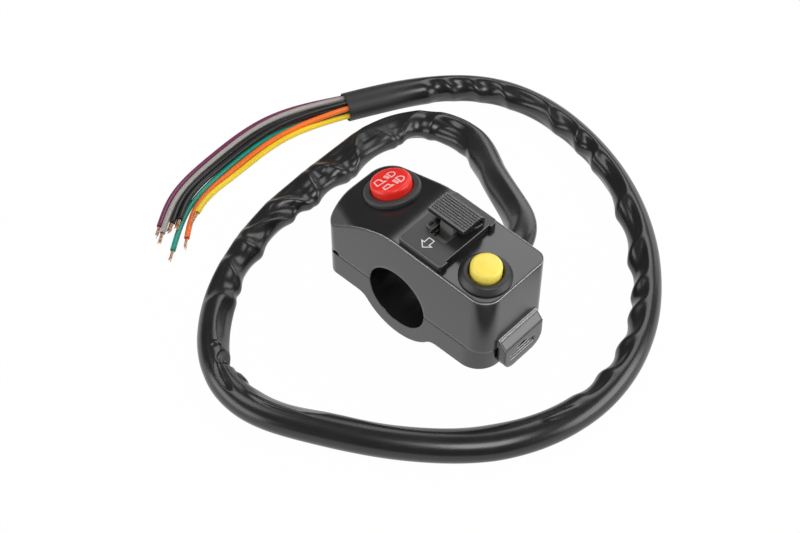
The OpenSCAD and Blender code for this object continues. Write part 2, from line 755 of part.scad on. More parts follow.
// End outline of the thumb knob in Y and Z, with its ribs
module knob_outline() {
    under_front = knob_h - knob_tip - rib_depth;
    low = plate_t + knob_clear;
    pitch = (rib_back - knob_front) / knob_ribs;
    valley = knob_h - rib_depth;
    polygon(concat(
        [[knob_front, under_front], [knob_front, valley]],
        [for (i = [0:knob_ribs - 1]) let (y = knob_front + i * pitch) each [
            [y + 0.25 * pitch, knob_h], [y + 0.6 * pitch, knob_h],
            [y + 0.85 * pitch, valley], [y + pitch, valley]]],
        [[rib_back + 0.4, knob_h], [knob_back - 0.4, knob_h - knob_bevel],
         [knob_back, knob_h - knob_bevel - 0.6], [knob_back, low], [knob_back - 1, low]]
    ));
}

// Hollow in each end of the thumb knob
module knob_hollow() {
    polygon([[rib_back - 2.4, knob_h - 2.6], [rib_back + 0.2, knob_h - 1.6], [knob_back - 1, knob_h - 2.6],
             [knob_back - 1, plate_t + 1.6], [rib_back - 0.4, knob_h - 3.6]]);
}

// Side outline of the neck in Y and Z, bowed out at the front and drawn in by a gap
module neck_outline(gap) {
    front = -neck_l / 2;
    top = knob_h - rib_depth - neck_sink;
    polygon([[front + neck_lean - gap, top + gap], [front + neck_lean / 3 - gap, (top + plate_t) / 2 + 0.6],
             [front - gap, plate_t], [front - gap, carriage_low], [-front + gap, carriage_low],
             [-front + gap, top + gap]]);
}

// Ribbed thumb knob, pressed on the neck
module slide_knob() color("#202021") on_deck(slide_x, slide_home) difference() {
    towards_horn(-knob_w / 2, knob_w) knob_outline();
    for (s = [-1, 1]) towards_horn(s * knob_w / 2 - knob_w / 8, knob_w / 4) knob_hollow();
    towards_horn(-neck_w / 2 - seat_gap / 2, neck_w + seat_gap) neck_outline(seat_gap / 2);
}

// Neck and the carriage below the deck that slides on the board
module slide_carriage() color("darkgray") on_deck(slide_x, slide_home) difference() {
    union() {
        towards_horn(-neck_w / 2, neck_w) neck_outline(0);
        translate([-carriage_w / 2, -carriage_l / 2, carriage_low])
            cube([carriage_w, carriage_l, carriage_t]);
    }
    translate([0, 0, carriage_low - 1]) cylinder(r = ball_bore_r, h = ball_bore_top - carriage_low + 1);
}

// Two contact strips under the carriage
module slide_contact() color("goldenrod") on_deck(slide_x, slide_home) for (s = [-1, 1])
    translate([s * (carriage_w - strip_w) / 2 - strip_w / 2, -carriage_l / 2, carriage_low - strip_t])
        cube([strip_w, carriage_l, strip_t]);

module detent_ball() color("silver") on_deck(slide_x, slide_home) translate([0, 0, ball_z]) sphere(ball_r);

// Spring above the detent ball, in the bore of the neck
module detent_spring() color("lightgray") on_deck(slide_x, slide_home) {
    end_gap = detent_wire_r + 0.05;
    tube(helix(ball_r - 2 * detent_wire_r, ball_z + ball_r + end_gap, ball_bore_top - end_gap, detent_turns),
         detent_wire_r, 6);
}

// Board under the carriage with rivet holes and three detent grooves
module slide_board() color("peru") on_deck(slide_x, 0) difference() {
    translate([-board_w / 2, -board_l / 2, board_top - board_t]) cube([board_w, board_l, board_t]);
    at_board_holes() translate([0, 0, board_top - board_t - 1])
        cylinder(r = small_screw_r + seat_gap, h = board_t + 2);
    at_rivets() translate([0, 0, board_top - board_t - 1]) cylinder(r = rivet_r, h = board_t + 2);
    for (i = [-1:1]) translate([0, slide_home + i * slide_travel, board_top + ball_r - detent_depth])
        rotate([0, 90, 0]) cylinder(r = ball_r, h = 2 * ball_r, center = true);
}

// Places of the rivets under the contact strips
module at_rivets() {
    for (s = [-1, 1], i = [-1:1])
        translate([s * (carriage_w - strip_w) / 2, slide_home + i * rivet_pitch, 0]) children();
}

module slide_terminals() color("goldenrod") on_deck(slide_x, 0) at_rivets()
    translate([0, 0, board_top - board_t - rivet_tail]) cylinder(r = rivet_r, h = board_t + rivet_tail);

// Screws that hold the slide board to its bosses
module slide_screws() color("silver") on_deck(slide_x, 0) at_board_holes() {
    translate([0, 0, board_top - board_t - small_head_h]) cylinder(r = small_head_r, h = small_head_h);
    translate([0, 0, board_top - board_t]) cylinder(r = small_screw_r, h = board_t - board_top - skin);
}

// Rim round the horn cap: a sloping foot with a raised ring on it
module horn_bezel() color("#2a2a2a") on_deck(horn_at[0], horn_at[1]) {
    foot_edge = 0.5;
    rotate_extrude() polygon([
        [collar_in(horn_cap_d), -seat_depth], [collar_out(horn_cap_d), -seat_depth],
        [collar_out(horn_cap_d), 0], [horn_foot_d / 2, 0], [horn_foot_d / 2, foot_edge],
        [horn_ring_d / 2, horn_rim_h - foot_edge / 2], [horn_ring_d / 2 - foot_edge, horn_rim_h],
        [collar_in(horn_cap_d) + foot_edge, horn_rim_h], [collar_in(horn_cap_d), horn_rim_h - foot_edge]
    ]);
}

module horn_button() color("gold") on_deck(horn_at[0], horn_at[1])
    push_cap(horn_cap_d, horn_top, horn_travel);

module horn_spring() color("lightgray") on_deck(horn_at[0], horn_at[1]) push_spring(horn_cap_d, horn_top);

module horn_contact() color("goldenrod") on_deck(horn_at[0], horn_at[1])
    push_contact(horn_cap_d, horn_travel);

module horn_base() color("peru") on_deck(horn_at[0], horn_at[1])
    push_base(horn_cap_d, horn_ears, horn_posts);

module horn_terminals() color("goldenrod") on_deck(horn_at[0], horn_at[1])
    push_terminals(horn_cap_d, horn_posts);

module horn_screws() color("silver") on_deck(horn_at[0], horn_at[1]) push_screws(horn_cap_d, horn_ears);

// Rubber grommet in the port, with a flange on each side of the wall
module grommet() color("#141414") translate([port_at[0], back_y, port_at[1]]) rotate([90, 0, 0])
    rotate_extrude() polygon([
        [sleeve_r, -grommet_flange_t], [port_r + grommet_flange / 2, -grommet_flange_t],
        [port_r + grommet_flange, 0], [port_r, 0], [port_r, wall], [port_r + grommet_flange, wall],
        [port_r + grommet_flange, wall + grommet_flange_t], [sleeve_r, wall + grommet_flange_t]
    ]);

// Cable tie round the sleeve, inside the wall, that stops it being pulled out
module cable_tie() color("ivory") {
    tie_y = back_y - wall - grommet_flange_t - seat_gap;
    translate([port_at[0], tie_y, port_at[1]]) rotate([90, 0, 0]) difference() {
        union() {
            cylinder(r = sleeve_r + tie_t, h = tie_w);
            translate([-tie_w, sleeve_r, 0]) cube([2 * tie_w, 2 * tie_t, tie_w]);
        }
        translate([0, 0, -1]) cylinder(r = sleeve_r, h = tie_w + 2);
    }
}

module harness_sleeve() color("#161616") tube(SLEEVE, sleeve_r, sleeve_sides);

module wire(w) color(WIRES[w][0]) tube(wire_route(w), wire_d / 2, wire_sides);

// Bare ends of all the wires
module copper_ends() color("#b87333") for (w = [0:len(WIRES) - 1]) {
    route = wire_route(w);
    last = len(route) - 1;
    run = unit(route[last] - route[last - 1]);
    tube([route[last], route[last] + copper_l * run], copper_d / 2, wire_sides);
}

upper_housing();
lower_clamp();
clamp_screws();
headlamp_bezel();
headlamp_button();
headlamp_spring();
headlamp_contact();
headlamp_base();
headlamp_terminals();
headlamp_screws();
slide_plate();
slide_knob();
slide_carriage();
slide_contact();
detent_ball();
detent_spring();
slide_board();
slide_terminals();
slide_screws();
horn_bezel();
horn_button();
horn_spring();
horn_contact();
horn_base();
horn_terminals();
horn_screws();
grommet();
cable_tie();
harness_sleeve();
wire(0);  // wire_crimson
wire(1);  // wire_purple
wire(2);  // wire_grey
wire(3);  // wire_brown
wire(4);  // wire_black_a
wire(5);  // wire_black_b
wire(6);  // wire_teal
wire(7);  // wire_orange
wire(8);  // wire_yellow
copper_ends();
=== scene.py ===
import math

import bmesh
import bpy
import numpy as np
from mathutils import Matrix, Vector


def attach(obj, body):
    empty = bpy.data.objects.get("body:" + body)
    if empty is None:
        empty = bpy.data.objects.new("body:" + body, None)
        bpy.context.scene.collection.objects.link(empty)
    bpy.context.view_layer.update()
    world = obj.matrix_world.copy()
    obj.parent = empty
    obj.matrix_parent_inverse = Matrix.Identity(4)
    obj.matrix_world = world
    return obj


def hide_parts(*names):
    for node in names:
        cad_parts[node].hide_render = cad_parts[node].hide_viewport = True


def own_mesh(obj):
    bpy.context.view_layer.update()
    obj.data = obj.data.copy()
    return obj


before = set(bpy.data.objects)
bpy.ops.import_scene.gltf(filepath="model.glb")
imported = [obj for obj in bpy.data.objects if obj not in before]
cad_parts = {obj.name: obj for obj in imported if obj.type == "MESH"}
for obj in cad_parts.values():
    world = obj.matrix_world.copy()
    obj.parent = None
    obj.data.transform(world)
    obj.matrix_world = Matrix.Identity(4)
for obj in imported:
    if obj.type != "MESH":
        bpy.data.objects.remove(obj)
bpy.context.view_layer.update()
MM = 0.001

# Sizes repeated from the part's source, in millimetres and degrees
DECK_H = 24.5
DECK_TILT = math.radians(2.4)
FACET_TILT = math.radians(14.5)
KNEE_X = 4.0
LAMP_AT = (-17.35, 3.3)
LAMP_TOP = 5.0
CAP_FALL = 0.0725
SLIDE_X = 8.0
PLATE_Y = -0.3
PLATE_T = 2.4
HORN_AT = (26.1, -4.2)
HORN_TOP = 5.8
CUP_LOW = -9.2
CAP_TOP_T = 1.6
SPRING_WIRE_R = 0.3
HEADLAMP_SPRING_R, HORN_SPRING_R = 4.95, 3.25
TABLE_Z = -16.4
SLEEVE_R = 4.9
WIRE_R = 0.85
LIE_Z = TABLE_Z + SLEEVE_R
BUNDLE_Z = TABLE_Z + WIRE_R + 0.05
COPPER_L = 5.0

# Sizes of the pieces made here, in millimetres, with the numbers of points and of faces round
COAT_R = 0.95
INSIDE = 8.0
SLEEVE_STEP, SLEEVE_SIDES, SLEEVE_EASE = 0.5, 108, 13
WIRE_STEP, WIRE_SIDES = 1, 20
STRANDS, STRAND_SIDES, STRAND_ROWS = 7, 6, 9
STRAND_R, STRAND_SPREAD, STRAND_ROOT = 0.14, 0.36, 0.4
STRAND_TWIST = 0.35
SPRING_TURNS, SPRING_STEPS, SPRING_SIDES, SPRING_GAP = 5, 120, 8, 0.05
LAMP_LINE, ARROW_LINE, PRINT_LIFT = 0.4, 0.32, 0.03

# Camera fitted to the photograph: its place in metres, its directions, lens and sensor
EYE = (0.209149, -0.236447, 0.374026)
EYE_RIGHT = (0.73145, 0.68189, 0)
EYE_AHEAD = (-0.44170, 0.47380, -0.76185)
LENS_MM, SENSOR_MM = 72, 36

# Middle line of the sleeve, from inside the housing to the open mouth
SLEEVE_ROUTE = [
    (18.5, 6.7, 9.5), (18.5, 14.5, 9.5), (17.8, 19.9, 9.3), (15.7, 25, 8.6), (12.3, 29.4, 7.3),
    (7.8, 33, 5.5), (-5.5, 41.6, 0.2), (-19, 51, -5.8), (-27, 56.5, -9.3), (-34, 59.7, -11),
    (-41.2, 60.2, LIE_Z), (-48.2, 58.2, LIE_Z), (-54, 54, LIE_Z), (-58, 48, LIE_Z),
    (-60, 38, LIE_Z), (-60, 12, LIE_Z), (-58.8, -8, LIE_Z), (-54.5, -26, LIE_Z),
    (-47, -43, LIE_Z), (-37, -56, LIE_Z), (-26.5, -64, LIE_Z), (-15, -66.5, LIE_Z),
    (-4, -64.5, LIE_Z), (6.5, -59.8, LIE_Z), (22.5, -51.2, LIE_Z), (37, -41, LIE_Z),
    (49.8, -28.5, LIE_Z), (59, -13, LIE_Z), (63, 4.5, LIE_Z), (61.8, 20, LIE_Z),
    (55, 38.5, LIE_Z), (44.8, 53.3, LIE_Z), (32.4, 66, LIE_Z), (10.5, 80.3, LIE_Z),
    (-14.5, 88, LIE_Z), (-32, 88.3, LIE_Z), (-46.5, 83.6, LIE_Z), (-58.4, 74, LIE_Z),
    (-69, 59.5, LIE_Z), (-77.5, 43.5, LIE_Z),
]
# Section of the sleeve by distance along it: half-width, half-height and the turn of the wide
# way from the level in degrees
SECTIONS = [
    (0, 4.9, 4.9, 0), (13, 4.9, 4.9, 0), (24, 5.1, 4.4, 15), (60, 4.8, 4.4, 15),
    (82, 5.9, 4.5, 10), (104, 5.6, 4.7, 0), (122, 6, 4.5, 0), (160, 5.9, 4.5, 0),
    (190, 5.4, 4.7, 0), (222, 5, 4.8, 0), (234, 4.6, 4.7, 0), (250, 5, 4.7, 0),
    (285, 5.2, 4.8, 0), (324, 5.7, 4.6, 0), (350, 5.1, 4.7, 0), (385, 4.8, 4.8, 0),
    (420, 5, 4.8, 0), (470, 4.4, 4.8, 0), (530, 4.5, 4.8, 0), (552, 5.3, 4.6, 0),
    (570, 5.4, 4.6, 0),
]
# Distance along the sleeve where it comes down on the floor, and the length over which it does
REST_FROM, REST_OVER = 90, 20
# Rim of the mouth: distance back into the sleeve and share of its section
MOUTH_LIP = [(-0.1, 0.98), (-0.1, 0.94), (0.2, 0.92), (5, 0.92)]
# Crests of the crumpled stretches. Each crosses the sleeve through three places, given by the
# distance along it at 50, 110 and 180 degrees round it, where 0 is the outer side of the loop and
# 90 the top. Then the depth of the valley after it and the angle where that valley fades out.
CRESTS = [
    (30, 28, 24, 0, 60), (84, 80, 70, 1.4, 60), (97, 98, 99, 1.4, 10), (103, 107, 112, 1.8, 10),
    (121, 118, 115, 1.8, 10), (125, 130, 136, 2, 10), (145, 142, 139, 2, 10),
    (149, 151, 154, 2, 10), (166, 161, 157, 2, 10), (180, 173, 165, 1.8, 10),
    (184, 185, 184, 1.6, 10), (193, 197, 201, 1.6, 15), (210, 207, 206, 0, 15),
    (356, 355, 353, 1, 75), (369, 368, 366, 1.4, 75), (385, 383, 379, 1.3, 75),
    (400, 397.5, 393, 1.2, 75), (410, 407.5, 402, 1.4, 75), (428, 424, 417, 1.6, 75),
    (446, 443, 439, 1.7, 75), (467, 465, 463, 1.5, 75), (478, 476, 473, 1.4, 75),
    (493, 490, 485, 1.4, 75), (513, 510, 506, 1.3, 75), (523, 520.5, 517, 1.3, 75),
    (533, 530, 527, 1.2, 75), (540, 537, 536, 0, 75),
]
CREST_ANGLES = (50, 110, 180)
# A valley grows over some degrees and dies out by an angle on the far side. Crests nearer than
# the full room have shallower valleys. The valleys are eased some times along and round.
GROW_OVER, GONE_AT, GONE_OVER = 35, 250, 45
FULL_ROOM, LEAST_ROOM = 10, 0.1
EASE_ALONG, EASE_ROUND = 5, 10
# Single folds, each drawn between two places, distance along and angle round, twice, then the
# half-width and the depth. A fold of negative depth is a raised crease.
FOLDS = [
    (2, 165, 60, 125, 5, 0.5), (76, 180, 98, 180, 6, -1), (100, 180, 168, 180, 7, -1.6),
    (404, 180, 462, 180, 6, -0.8), (204, 140, 230, 145, 4, 0.7),
    (227, 80, 227, 125, 1.2, -0.4), (233, 90, 233, 215, 3.6, 2.8), (238, 165, 246, 165, 2.8, -0.8),
    (232, 95, 246, 68, 1.8, 0.8), (246, 105, 272, 90, 1.4, -0.4), (248, 140, 276, 135, 3.4, 0.7),
    (278, 150, 332, 140, 3.6, 0.4), (338, 95, 352, 82, 1.4, -0.3),
]
# Middle line of the wires, how far they have fanned out at each of its points, and there the
# shares of the step from the ribbon to the tip, across and upwards
BUNDLE = [
    (-77.5, 43.5, LIE_Z), (-81.5, 36, LIE_Z - 0.5), (-87.5, 20, -13),
    (-89.5, -3, BUNDLE_Z), (-85.5, -23, BUNDLE_Z), (-75.5, -39.5, BUNDLE_Z),
]
FAN = (0, 0.3, 0.85, 1, 1, 1)
TIP = ((0, 0), (0, 0), (0, 0), (0, 0), (0, 1), (1, 1))
# Each wire: name, places across and upwards in the mouth, in the ribbon and at the tip, and
# how far its end is cut back
WIRES = [
    ("crimson", (-3.3, -1.4), (-3.4, 0), (-3.4, 0), 12),
    ("purple", (-3.8, 0.7), (-6.2, 1.2), (-6.2, 1.2), 8),
    ("grey", (-2.1, 2), (-4.2, 1.7), (-4.2, 1.7), 5),
    ("brown", (-1.2, -2.3), (-1.5, 0), (-1.5, 0), 14),
    ("black_a", (-0.8, -0.2), (-2.3, 1.7), (-2.3, 1.7), 10),
    ("black_b", (0.7, 2.4), (-0.4, 1.7), (-0.4, 1.7), 12),
    ("teal", (1.8, -2.1), (0.7, 0), (0.7, 0), 0),
    ("orange", (2.8, 1.7), (2.8, 0), (4, 0), 6),
    ("yellow", (3.6, -1), (4.9, 0), (2.3, 1.9), 16),
]
# Signs printed on the red cap: two hoods, then a lamp and its beam, drawn once for each row
HOODS = [
    [(-0.7, -4.7), (-2.9, -3.9), (-2.9, -2.5), (-2, -2), (-0.9, -2.3), (0, -1.6), (-0.7, -4.7)],
    [(2.5, -4.6), (1.3, -4.3), (1.5, -2.3), (2.4, -2.3), (3.2, -1.7), (2.5, -4.6)],
]
LAMP_ROWS = (-2.4, 1.5)
LAMP_SIGN = [(0, 1.1), (0.1, 2), (0.5, 2.6), (1, 2.9), (1.6, 2.9), (2.2, 2.5), (2.5, 1.8),
             (2.6, 0.7), (0, 1.1)]
BEAM_ACROSS, BEAM_ENDS = (0.3, 0.9, 1.5, 2.1), (-0.7, 0.4)
# Arrow printed on the plate: middle, half-widths of its shaft and head, and places along it
ARROW_X, SHAFT_HALF, HEAD_HALF = -0.65, 0.95, 1.9
ARROW_TIP, ARROW_NECK, ARROW_TAIL = -10.3, -8.5, -6.3

# Height of a moulding's grain in metres; reach in millimetres and colour of the painted highlight
# on edges; the agreement of two normals between which that painted highlight sets in, and the
# upward share that it needs
GRAIN_HEIGHT = 0.0002
# Pale colour painted along upward edges as a highlight, not a real rubbed finish
HIGHLIGHT_REACH, PAINTED_HIGHLIGHT_SHADE = 0.8, (0.9, 0.9, 0.9, 1)
PAINTED_HIGHLIGHT_NONE, PAINTED_HIGHLIGHT_FULL = 0.93, 0.74
UPWARD_NONE, UPWARD_FULL = 0.15, 0.45
BEVEL_SAMPLES = 12

# Floor and surround, then the soft boxes: direction, distance, width and height in metres, level
FLOOR_HALF, FLOOR_DROP, FLOOR_GLOW = 6, 0.00005, 0.985
SURROUND_LEVEL = 0.14
SOFT_BOXES = [
    ("back_box", (-0.174, 0.65, 0.741), 1.1, (0.9, 0.5), 2.6),
    ("top_box", (-0.44, -0.28, 0.85), 1.2, (0.55, 0.45), 3),
    ("over_box", (0.42, -0.2, 0.88), 1.2, (0.45, 0.45), 7),
    ("left_box", (-0.45, -0.85, 0.2), 1.2, (1.2, 0.55), 3),
    ("right_box", (0.8, 0.45, 0.34), 1.3, (1.1, 0.75), 4),
    ("far_box", (-0.2, 0.97, 0.12), 1.5, (1.4, 0.5), 1.4),
]


def photo_camera():
    """Camera fitted to the photograph, looking down at about 50 degrees."""
    lens = bpy.data.cameras.new("photo_camera")
    lens.sensor_fit = "HORIZONTAL"
    lens.sensor_width = SENSOR_MM
    lens.lens = LENS_MM
    lens.clip_start = 0.01
    lens.clip_end = 20
    eye = bpy.data.objects.new("photo_camera", lens)
    right = Vector(EYE_RIGHT).normalized()
    ahead = Vector(EYE_AHEAD).normalized()
    up = right.cross(ahead)
    turn = Matrix((right, up, -ahead)).transposed()
    eye.matrix_world = Matrix.Translation(EYE) @ turn.to_4x4()
    bpy.context.collection.objects.link(eye)
    bpy.context.scene.camera = eye


def spline(points, step):
    """Points evenly spaced on a natural cubic spline through the given points."""
    p = np.array(points, float)
    t = np.concatenate([[0], np.cumsum(np.linalg.norm(np.diff(p, axis=0), axis=1))])
    n, h = len(p), np.diff(t)
    a = np.eye(n)
    b = np.zeros((n, 3))
    for i in range(1, n - 1):
        a[i, i - 1:i + 2] = h[i - 1], 2 * (h[i - 1] + h[i]), h[i]
        b[i] = 6 * ((p[i + 1] - p[i]) / h[i] - (p[i] - p[i - 1]) / h[i - 1])
    m = np.linalg.solve(a, b)
    u = np.linspace(0, t[-1], 40 * n)
    i = np.clip(np.searchsorted(t, u, side="right") - 1, 0, n - 2)
    left, right = (u - t[i])[:, None], (t[i + 1] - u)[:, None]
    w = h[i][:, None]
    q = (m[i] * right ** 3 + m[i + 1] * left ** 3) / (6 * w) \
        + (p[i] / w - m[i] * w / 6) * right + (p[i + 1] / w - m[i + 1] * w / 6) * left
    along = np.concatenate([[0], np.cumsum(np.linalg.norm(np.diff(q, axis=0), axis=1))])
    at = np.linspace(0, along[-1], max(2, round(along[-1] / step) + 1))
    return np.stack([np.interp(at, along, q[:, k]) for k in range(3)], axis=1), at


def headings(line):
    """Forward, sideways and upward directions at each point of a line."""
    t = np.gradient(line, axis=0)
    t /= np.linalg.norm(t, axis=1)[:, None]
    side = np.cross(t, [0.0, 0.0, 1.0])
    side /= np.linalg.norm(side, axis=1)[:, None]
    return t, side, np.cross(side, t)


def circle(side, up, around):
    """Directions round a line at each of its points, for each of some angles."""
    a = around[None, :, None]
    return np.cos(a) * side[:, None, :] + np.sin(a) * up[:, None, :]


def skin_mesh(name, rings):
    """Mesh object over rings of points in millimetres, closed at both ends."""
    n, k = rings.shape[:2]
    mesh = bpy.data.meshes.new(name)
    faces = [(i * k + j, i * k + (j + 1) % k, (i + 1) * k + (j + 1) % k, (i + 1) * k + j)
             for i in range(n - 1) for j in range(k)]
    faces += [tuple(range(k - 1, -1, -1)), tuple(range((n - 1) * k, n * k))]
    mesh.from_pydata((rings.reshape(-1, 3) * MM).tolist(), [], faces)
    mesh.polygons.foreach_set("use_smooth", [True] * len(mesh.polygons))
    mesh.update()
    piece = bpy.data.objects.new(name, mesh)
    bpy.context.collection.objects.link(piece)
    return piece


def smooth_line(line, reach):
    """Line with its tight bends eased by a running mean over a number of points each way."""
    out = line.copy()
    for i in range(1, len(line) - 1):
        k = min(reach, i, len(line) - 1 - i)
        out[i] = line[i - k:i + k + 1].mean(axis=0)
    return out


def crest_depth(along, around):
    """Depth of the valleys between the crests at each place along and round the sleeve."""
    turn = np.degrees(around)
    depth = np.zeros((len(along), len(around)))
    for j, angle in enumerate(turn):
        at = np.array([np.interp(angle, CREST_ANGLES, row[:3]) for row in CRESTS])
        at = np.maximum.accumulate(at)
        i = np.clip(np.searchsorted(at, along, side="right") - 1, 0, len(at) - 2)
        room = np.maximum(at[i + 1] - at[i], LEAST_ROOM)
        x = np.clip((along - at[i]) / room, 0, 1)
        deep = np.array([row[3] for row in CRESTS])[i] * np.minimum(1, room / FULL_ROOM)
        fade = np.array([row[4] for row in CRESTS], float)[i]
        gone = np.clip((GONE_AT - angle) / GONE_OVER, 0, 1)
        grow = np.clip((angle - fade) / GROW_OVER, 0, 1) * gone
        depth[:, j] = deep * 4 * x * (1 - x) * grow * grow * (3 - 2 * grow)
    for _ in range(EASE_ALONG):
        depth[1:-1] = (depth[:-2] + 2 * depth[1:-1] + depth[2:]) / 4
    for _ in range(EASE_ROUND):
        depth = (np.roll(depth, 1, axis=1) + 2 * depth + np.roll(depth, -1, axis=1)) / 4
    return depth


def fold_depth(along, around):
    """Depth of the single folds at each place along and round the sleeve."""
    depth = np.zeros((len(along), len(around)))
    for s0, a0, s1, a1, half, deep in FOLDS:
        run = np.array([s1 - s0, SLEEVE_R * math.radians(a1 - a0)])
        long = np.linalg.norm(run) / 2
        c, s = run / (2 * long)
        u = along[:, None] - (s0 + s1) / 2
        v = around[None, :] - math.radians((a0 + a1) / 2)
        v = SLEEVE_R * ((v + math.pi) % (2 * math.pi) - math.pi)
        p, q = (u * c + v * s) / long, (v * c - u * s) / half
        near = np.maximum(0, 1 - p * p - q * q)
        depth += deep * near * near * (3 - 2 * near)
    return depth


def make_sleeve():
    """Soft vinyl sleeve: limp section, folds where it was bent, square-cut open mouth."""
    line, _ = spline(SLEEVE_ROUTE, SLEEVE_STEP)
    line = smooth_line(line, SLEEVE_EASE)
    along = np.concatenate([[0], np.cumsum(np.linalg.norm(np.diff(line, axis=0), axis=1))])
    t, side, up = headings(line)
    around = np.linspace(0, 2 * math.pi, SLEEVE_SIDES, endpoint=False)
    at, wide, high, turn = (np.array(column, float) for column in zip(*SECTIONS))
    wide, high, turn = (np.interp(along, at, column)[:, None] for column in (wide, high, turn))
    a = around[None, :] - np.radians(turn)
    section = wide * high / np.hypot(high * np.cos(a), wide * np.sin(a))
    r = section - crest_depth(along, around) - fold_depth(along, around)
    rings = line[:, None, :] + r[:, :, None] * circle(side, up, around)
    rings[:, :, 2] -= np.clip((along - REST_FROM) / REST_OVER, 0, 1)[:, None] * (SLEEVE_R - high)
    rings[:, :, 2] = np.maximum(rings[:, :, 2], TABLE_Z)
    end = rings[-1] - line[-1]
    lip = [line[-1] - t[-1] * back + end * share for back, share in MOUTH_LIP]
    sleeve = skin_mesh("cable_sleeve", np.concatenate([rings, np.array(lip)]))
    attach(sleeve, "housing")
    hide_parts("harness_sleeve")
    return sleeve


def wire_route(w):
    """Points of one wire from the sleeve's mouth to its cut end."""
    p = np.array(BUNDLE, float)
    last = len(p) - 1
    ahead = np.array([p[min(i + 1, last)] - p[max(i - 1, 0)] for i in range(len(p))])
    side = np.cross(ahead / np.linalg.norm(ahead, axis=1)[:, None], [0.0, 0.0, 1.0])
    side /= np.linalg.norm(side, axis=1)[:, None]
    mouth, ribbon, tip = (np.array(place, float) for place in WIRES[w][1:4])
    for i in range(len(p)):
        o = mouth + FAN[i] * (ribbon - mouth) + np.array(TIP[i]) * (tip - ribbon)
        p[i] += np.array([0, 0, o[1]]) - o[0] * side[i]
    run = (p[-1] - p[-2]) / np.linalg.norm(p[-1] - p[-2])
    p[-1] -= WIRES[w][4] * run
    return p


def make_wires():
    """Nine insulated wires out of the sleeve's mouth, each with its bare strands."""
    around = np.linspace(0, 2 * math.pi, WIRE_SIDES, endpoint=False)
    mouth_way = np.array(SLEEVE_ROUTE[-1], float) - SLEEVE_ROUTE[-2]
    mouth_way /= np.linalg.norm(mouth_way)
    made = {}
    for w, (colour, *_) in enumerate(WIRES):
        route = wire_route(w)
        line, along = spline(np.concatenate([[route[0] - INSIDE * mouth_way], route]), WIRE_STEP)
        t, side, up = headings(line)
        ring = circle(side, up, around)
        rings = line[:, None, :] + COAT_R * ring
        tip = [line[-1] + t[-1] * out + (COAT_R - inset) * ring[-1] for out, inset in
               ((0.06, 0.1), (0.06, 0.3), (-0.5, 0.4))]
        wire = skin_mesh("wire_" + colour, np.concatenate([rings, np.array(tip)]))
        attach(wire, "housing")
        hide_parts("wire_" + colour)
        strands = bare_strands(colour, line[-1], t[-1], side[-1], up[-1], w)
        made[colour] = (wire, strands)
    return made


def bare_strands(colour, start, ahead, side, up, seed):
    """Seven fine copper strands, lightly twisted and splayed, out of a cut wire."""
    rng = np.random.default_rng(100 + seed)
    around = np.linspace(0, 2 * math.pi, STRAND_SIDES, endpoint=False)
    bm = bmesh.new()
    for k in range(STRANDS):
        spread = 0.0 if k == 0 else STRAND_SPREAD
        a0 = 2 * math.pi * k / (STRANDS - 1) + rng.uniform(-0.2, 0.2)
        long = COPPER_L * rng.uniform(0.62, 1.0)
        flare = rng.uniform(0.0, 0.5)
        rows = []
        for s in np.linspace(-STRAND_ROOT, long, STRAND_ROWS):
            a = a0 + STRAND_TWIST * s
            out = spread * (1 + flare * max(s, 0) / COPPER_L)
            c = start + ahead * s + out * (math.cos(a) * side + math.sin(a) * up)
            ring = [c + STRAND_R * (math.cos(b) * side + math.sin(b) * up) for b in around]
            rows.append([bm.verts.new(p * MM) for p in ring])
        for low, high in zip(rows, rows[1:]):
            for j in range(STRAND_SIDES):
                after = (j + 1) % STRAND_SIDES
                bm.faces.new((low[j], low[after], high[after], high[j]))
        bm.faces.new(rows[-1])
        bm.faces.new(rows[0][::-1])
    mesh = bpy.data.meshes.new("strands_" + colour)
    bm.to_mesh(mesh)
    bm.free()
    mesh.polygons.foreach_set("use_smooth", [True] * len(mesh.polygons))
    piece = bpy.data.objects.new("strands_" + colour, mesh)
    bpy.context.collection.objects.link(piece)
    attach(piece, "housing")
    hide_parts("copper_ends")
    return piece


def add(tree, kind, **values):
    """New shader node with some of its properties or inputs set."""
    node = tree.nodes.new(kind)
    for key, value in values.items():
        if hasattr(node, key):
            setattr(node, key, value)
        else:
            node.inputs[key.replace("_", " ")].default_value = value
    return node


def moulded_skin():
    """Node group for moulded plastic: fine grain, faint smudges and shade changes."""
    group = bpy.data.node_groups.new("moulded_skin", "ShaderNodeTree")
    face = group.interface
    for name, value in (("Grain Scale", 1400.0), ("Roughness", 0.4), ("Smudge", 0.08)):
        face.new_socket(name, in_out="INPUT", socket_type="NodeSocketFloat").default_value = value
    for name in ("Height", "Roughness", "Shade"):
        face.new_socket(name, in_out="OUTPUT", socket_type="NodeSocketFloat")
    put, get = group.nodes.new("NodeGroupOutput"), group.nodes.new("NodeGroupInput")
    place = add(group, "ShaderNodeTexCoord")
    grain = add(group, "ShaderNodeTexNoise", Detail=3.0)
    smudge = add(group, "ShaderNodeTexNoise", Scale=60.0, Detail=4.0)
    level = add(group, "ShaderNodeMapRange", clamp=True)
    level.inputs["From Min"].default_value = 0.3
    level.inputs["From Max"].default_value = 0.7
    spread = add(group, "ShaderNodeMath", operation="MULTIPLY_ADD")
    link = group.links.new
    link(place.outputs["Object"], grain.inputs["Vector"])
    link(place.outputs["Object"], smudge.inputs["Vector"])
    link(get.outputs["Grain Scale"], grain.inputs["Scale"])
    link(smudge.outputs["Fac"], level.inputs["Value"])
    link(level.outputs["Result"], spread.inputs[0])
    link(get.outputs["Smudge"], spread.inputs[1])
    link(get.outputs["Roughness"], spread.inputs[2])
    link(grain.outputs["Fac"], put.inputs["Height"])
    link(spread.outputs["Value"], put.inputs["Roughness"])
    link(level.outputs["Result"], put.inputs["Shade"])
    return group


